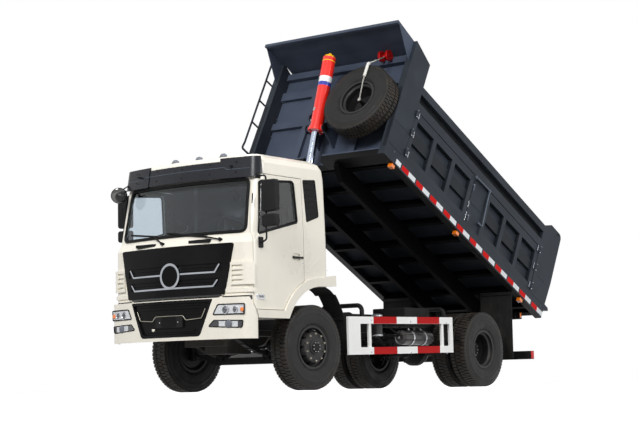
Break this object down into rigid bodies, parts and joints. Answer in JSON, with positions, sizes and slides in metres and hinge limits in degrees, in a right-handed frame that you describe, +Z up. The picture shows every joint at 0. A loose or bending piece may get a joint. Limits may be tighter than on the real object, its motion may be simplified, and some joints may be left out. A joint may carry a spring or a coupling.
{
  "type": "dump truck",
  "caption": "Two-axle flat-nosed tipping lorry with its bed raised on a front ram; cream cab, dark steel bed with drop gates, spare wheel, side guards.",
  "frame": {"origin": "on the ground, below the middle of the lorry's bounding box", "axes": "+X towards the cab, +Y to the driver's left side, +Z up"},
  "size_m": [7.5457, 2.802, 4.9643],
  "materials": {
    "cab_paint": "gloss",
    "bed_paint": "satin",
    "chassis_paint": "satin",
    "guard_paint": "gloss",
    "ram_paint": "gloss",
    "ram_chrome": "polished",
    "bright_trim": "polished",
    "rim_steel": "satin",
    "tyre_rubber": "matt",
    "black_plastic": "matt",
    "visor_plastic": "satin",
    "flap_rubber": "matt",
    "tank_steel": "gloss",
    "lamp_lens": "gloss",
    "tail_lens": "gloss",
    "amber_lens": "gloss",
    "window_glass": "clear",
    "seat_cloth": "woven",
    "dash_plastic": "matt",
    "engine_iron": "rough",
    "mirror_plastic": "matt",
    "pulley_paint": "satin"
  },
  "bodies": {
    "chassis": {"chassis_frame": "chassis_paint", "front_axle": "chassis_paint", "rear_axle": "chassis_paint", "leaf_springs": "chassis_paint", "engine_block": "engine_iron", "fuel_tank": "tank_steel", "air_tanks": "tank_steel", "battery_box": "black_plastic", "side_guards": "guard_paint", "guard_stays": "chassis_paint", "front_flaps": "flap_rubber", "underrun_bar": "chassis_paint", "tail_lamps": "tail_lens"},
    "cab": {"front_bumper": "cab_paint", "bumper_grille": "black_plastic", "headlamps": "lamp_lens", "cab_shell": "cab_paint", "windscreen": "window_glass", "sun_visor": "visor_plastic", "roof_lamps": "visor_plastic", "wipers": "black_plastic", "quarter_vents": "black_plastic", "seats": "seat_cloth", "dashboard": "dash_plastic"},
    "lid": {"grille_panel": "black_plastic", "grille_trim": "bright_trim"},
    "bed": {"bed_floor": "bed_paint", "bed_sides": "bed_paint", "bed_front_wall": "bed_paint", "spare_tyre": "tyre_rubber", "spare_rim": "rim_steel", "spare_hoist": "pulley_paint", "ladder": "bed_paint", "side_lamps": "amber_lens"},
    "tailgate": {"tailgate": "bed_paint"},
    "flaps": {"rear_flaps": "flap_rubber"},
    "ram_tube": {"ram_tube": "ram_paint"},
    "ram_stage_1": {"ram_stage_1": "ram_chrome"},
    "ram_stage_2": {"ram_stage_2": "ram_chrome"},
    "ram_stage_3": {"ram_stage_3": "ram_chrome"},
    "door_left": {"door_left": "cab_paint", "door_glass_left": "window_glass", "mirrors_left": "mirror_plastic"},
    "knuckle_left": {"knuckle_left": "chassis_paint"},
    "wheel_front_left": {"tyre_front_left": "tyre_rubber", "rim_front_left": "rim_steel"},
    "wheels_rear_left": {"tyres_rear_left": "tyre_rubber", "rims_rear_left": "rim_steel"},
    "gate_front_left": {"gate_front_left": "bed_paint"},
    "gate_rear_left": {"gate_rear_left": "bed_paint"},
    "door_right": {"door_right": "cab_paint", "door_glass_right": "window_glass", "mirrors_right": "mirror_plastic"},
    "knuckle_right": {"knuckle_right": "chassis_paint"},
    "wheel_front_right": {"tyre_front_right": "tyre_rubber", "rim_front_right": "rim_steel"},
    "wheels_rear_right": {"tyres_rear_right": "tyre_rubber", "rims_rear_right": "rim_steel"},
    "gate_front_right": {"gate_front_right": "bed_paint"},
    "gate_rear_right": {"gate_rear_right": "bed_paint"}
  },
  "joints": [
    {"name": "cab_tilt", "type": "hinge", "parent": "chassis", "child": "cab", "pos_m": [3.60386, 0, 1], "axis": [0, 1, 0], "range_deg": [0, 45]},
    {"name": "front_lid", "type": "hinge", "parent": "cab", "child": "lid", "pos_m": [3.71786, 0, 1.768], "axis": [0, -1, 0], "range_deg": [0, 65]},
    {"name": "door_left", "type": "hinge", "parent": "cab", "child": "door_left", "pos_m": [3.48686, 1.118, 1.7], "axis": [0, 0, -1], "range_deg": [0, 70]},
    {"name": "steer_left", "type": "hinge", "parent": "chassis", "child": "knuckle_left", "pos_m": [2.34186, 0.87, 0.525], "axis": [0, 0, 1], "range_deg": [-31, 39]},
    {"name": "wheel_front_left", "type": "hinge", "parent": "knuckle_left", "child": "wheel_front_left", "pos_m": [2.35058, 0.9947, 0.525], "axis": [0.0698, 0.9976, 0], "continuous": true},
    {"name": "wheels_rear_left", "type": "hinge", "parent": "chassis", "child": "wheels_rear_left", "pos_m": [-1.49114, 0.9105, 0.525], "axis": [0, 1, 0], "continuous": true},
    {"name": "door_right", "type": "hinge", "parent": "cab", "child": "door_right", "pos_m": [3.48686, -1.118, 1.7], "axis": [0, 0, 1], "range_deg": [0, 70]},
    {"name": "steer_right", "type": "hinge", "parent": "chassis", "child": "knuckle_right", "pos_m": [2.34186, -0.87, 0.525], "axis": [0, 0, 1], "range_deg": [-31, 39]},
    {"name": "wheel_front_right", "type": "hinge", "parent": "knuckle_right", "child": "wheel_front_right", "pos_m": [2.33314, -0.9947, 0.525], "axis": [0.0698, 0.9976, 0], "continuous": true},
    {"name": "wheels_rear_right", "type": "hinge", "parent": "chassis", "child": "wheels_rear_right", "pos_m": [-1.49114, -0.9105, 0.525], "axis": [0, 1, 0], "continuous": true},
    {"name": "bed_tip", "type": "hinge", "parent": "chassis", "child": "bed", "pos_m": [-2.65948, 0, 1.11257], "axis": [0, -1, 0], "range_deg": [-27.57, 17.43]},
    {"name": "tailgate_swing", "type": "hinge", "parent": "bed", "child": "tailgate", "pos_m": [-3.70894, 0, 2.29288], "axis": [0, 1, 0], "range_deg": [0, 75]},
    {"name": "gate_front_left", "type": "hinge", "parent": "bed", "child": "gate_front_left", "pos_m": [0.26447, 1.237, 3.4289], "axis": [0.4628, 0, -0.8864], "range_deg": [0, 100]},
    {"name": "gate_front_right", "type": "hinge", "parent": "bed", "child": "gate_front_right", "pos_m": [0.26447, -1.237, 3.4289], "axis": [-0.4628, 0, 0.8864], "range_deg": [0, 100]},
    {"name": "gate_rear_left", "type": "hinge", "parent": "bed", "child": "gate_rear_left", "pos_m": [-2.95687, 1.237, 1.74697], "axis": [-0.4628, 0, 0.8864], "range_deg": [0, 100]},
    {"name": "gate_rear_right", "type": "hinge", "parent": "bed", "child": "gate_rear_right", "pos_m": [-2.95687, -1.237, 1.74697], "axis": [0.4628, 0, -0.8864], "range_deg": [0, 100]},
    {"name": "flaps_hang", "type": "hinge", "parent": "bed", "child": "flaps", "pos_m": [-2.35911, 0, 1.36642], "axis": [0, -1, 0], "range_deg": [-17.43, 27.57]},
    {"name": "ram_swing", "type": "hinge", "parent": "bed", "child": "ram_tube", "pos_m": [0.76392, 0, 3.56559], "axis": [0, -1, 0], "range_deg": [-9.58, 15.14]},
    {"name": "ram_slide_1", "type": "slide", "parent": "ram_tube", "child": "ram_stage_1", "axis": [0.3058, 0, -0.9521], "range_m": [-0.66233, 0.41877]},
    {"name": "ram_slide_2", "type": "slide", "parent": "ram_stage_1", "child": "ram_stage_2", "axis": [0.3058, 0, -0.9521], "range_m": [-0.66233, 0.41877]},
    {"name": "ram_slide_3", "type": "slide", "parent": "ram_stage_2", "child": "ram_stage_3", "axis": [0.3058, 0, -0.9521], "range_m": [-0.66233, 0.41877]}
  ],
  "couplings": [
    {"joint": "steer_right", "follows": "steer_left", "ratio": 1},
    {"joint": "flaps_hang", "follows": "bed_tip", "ratio": -1},
    {"joint": "ram_swing", "follows": "bed_tip", "ratio": -0.54896},
    {"joint": "ram_slide_1", "follows": "bed_tip", "m_per_rad": 1.3762},
    {"joint": "ram_slide_2", "follows": "bed_tip", "m_per_rad": 1.3762},
    {"joint": "ram_slide_3", "follows": "bed_tip", "m_per_rad": 1.3762}
  ]
}
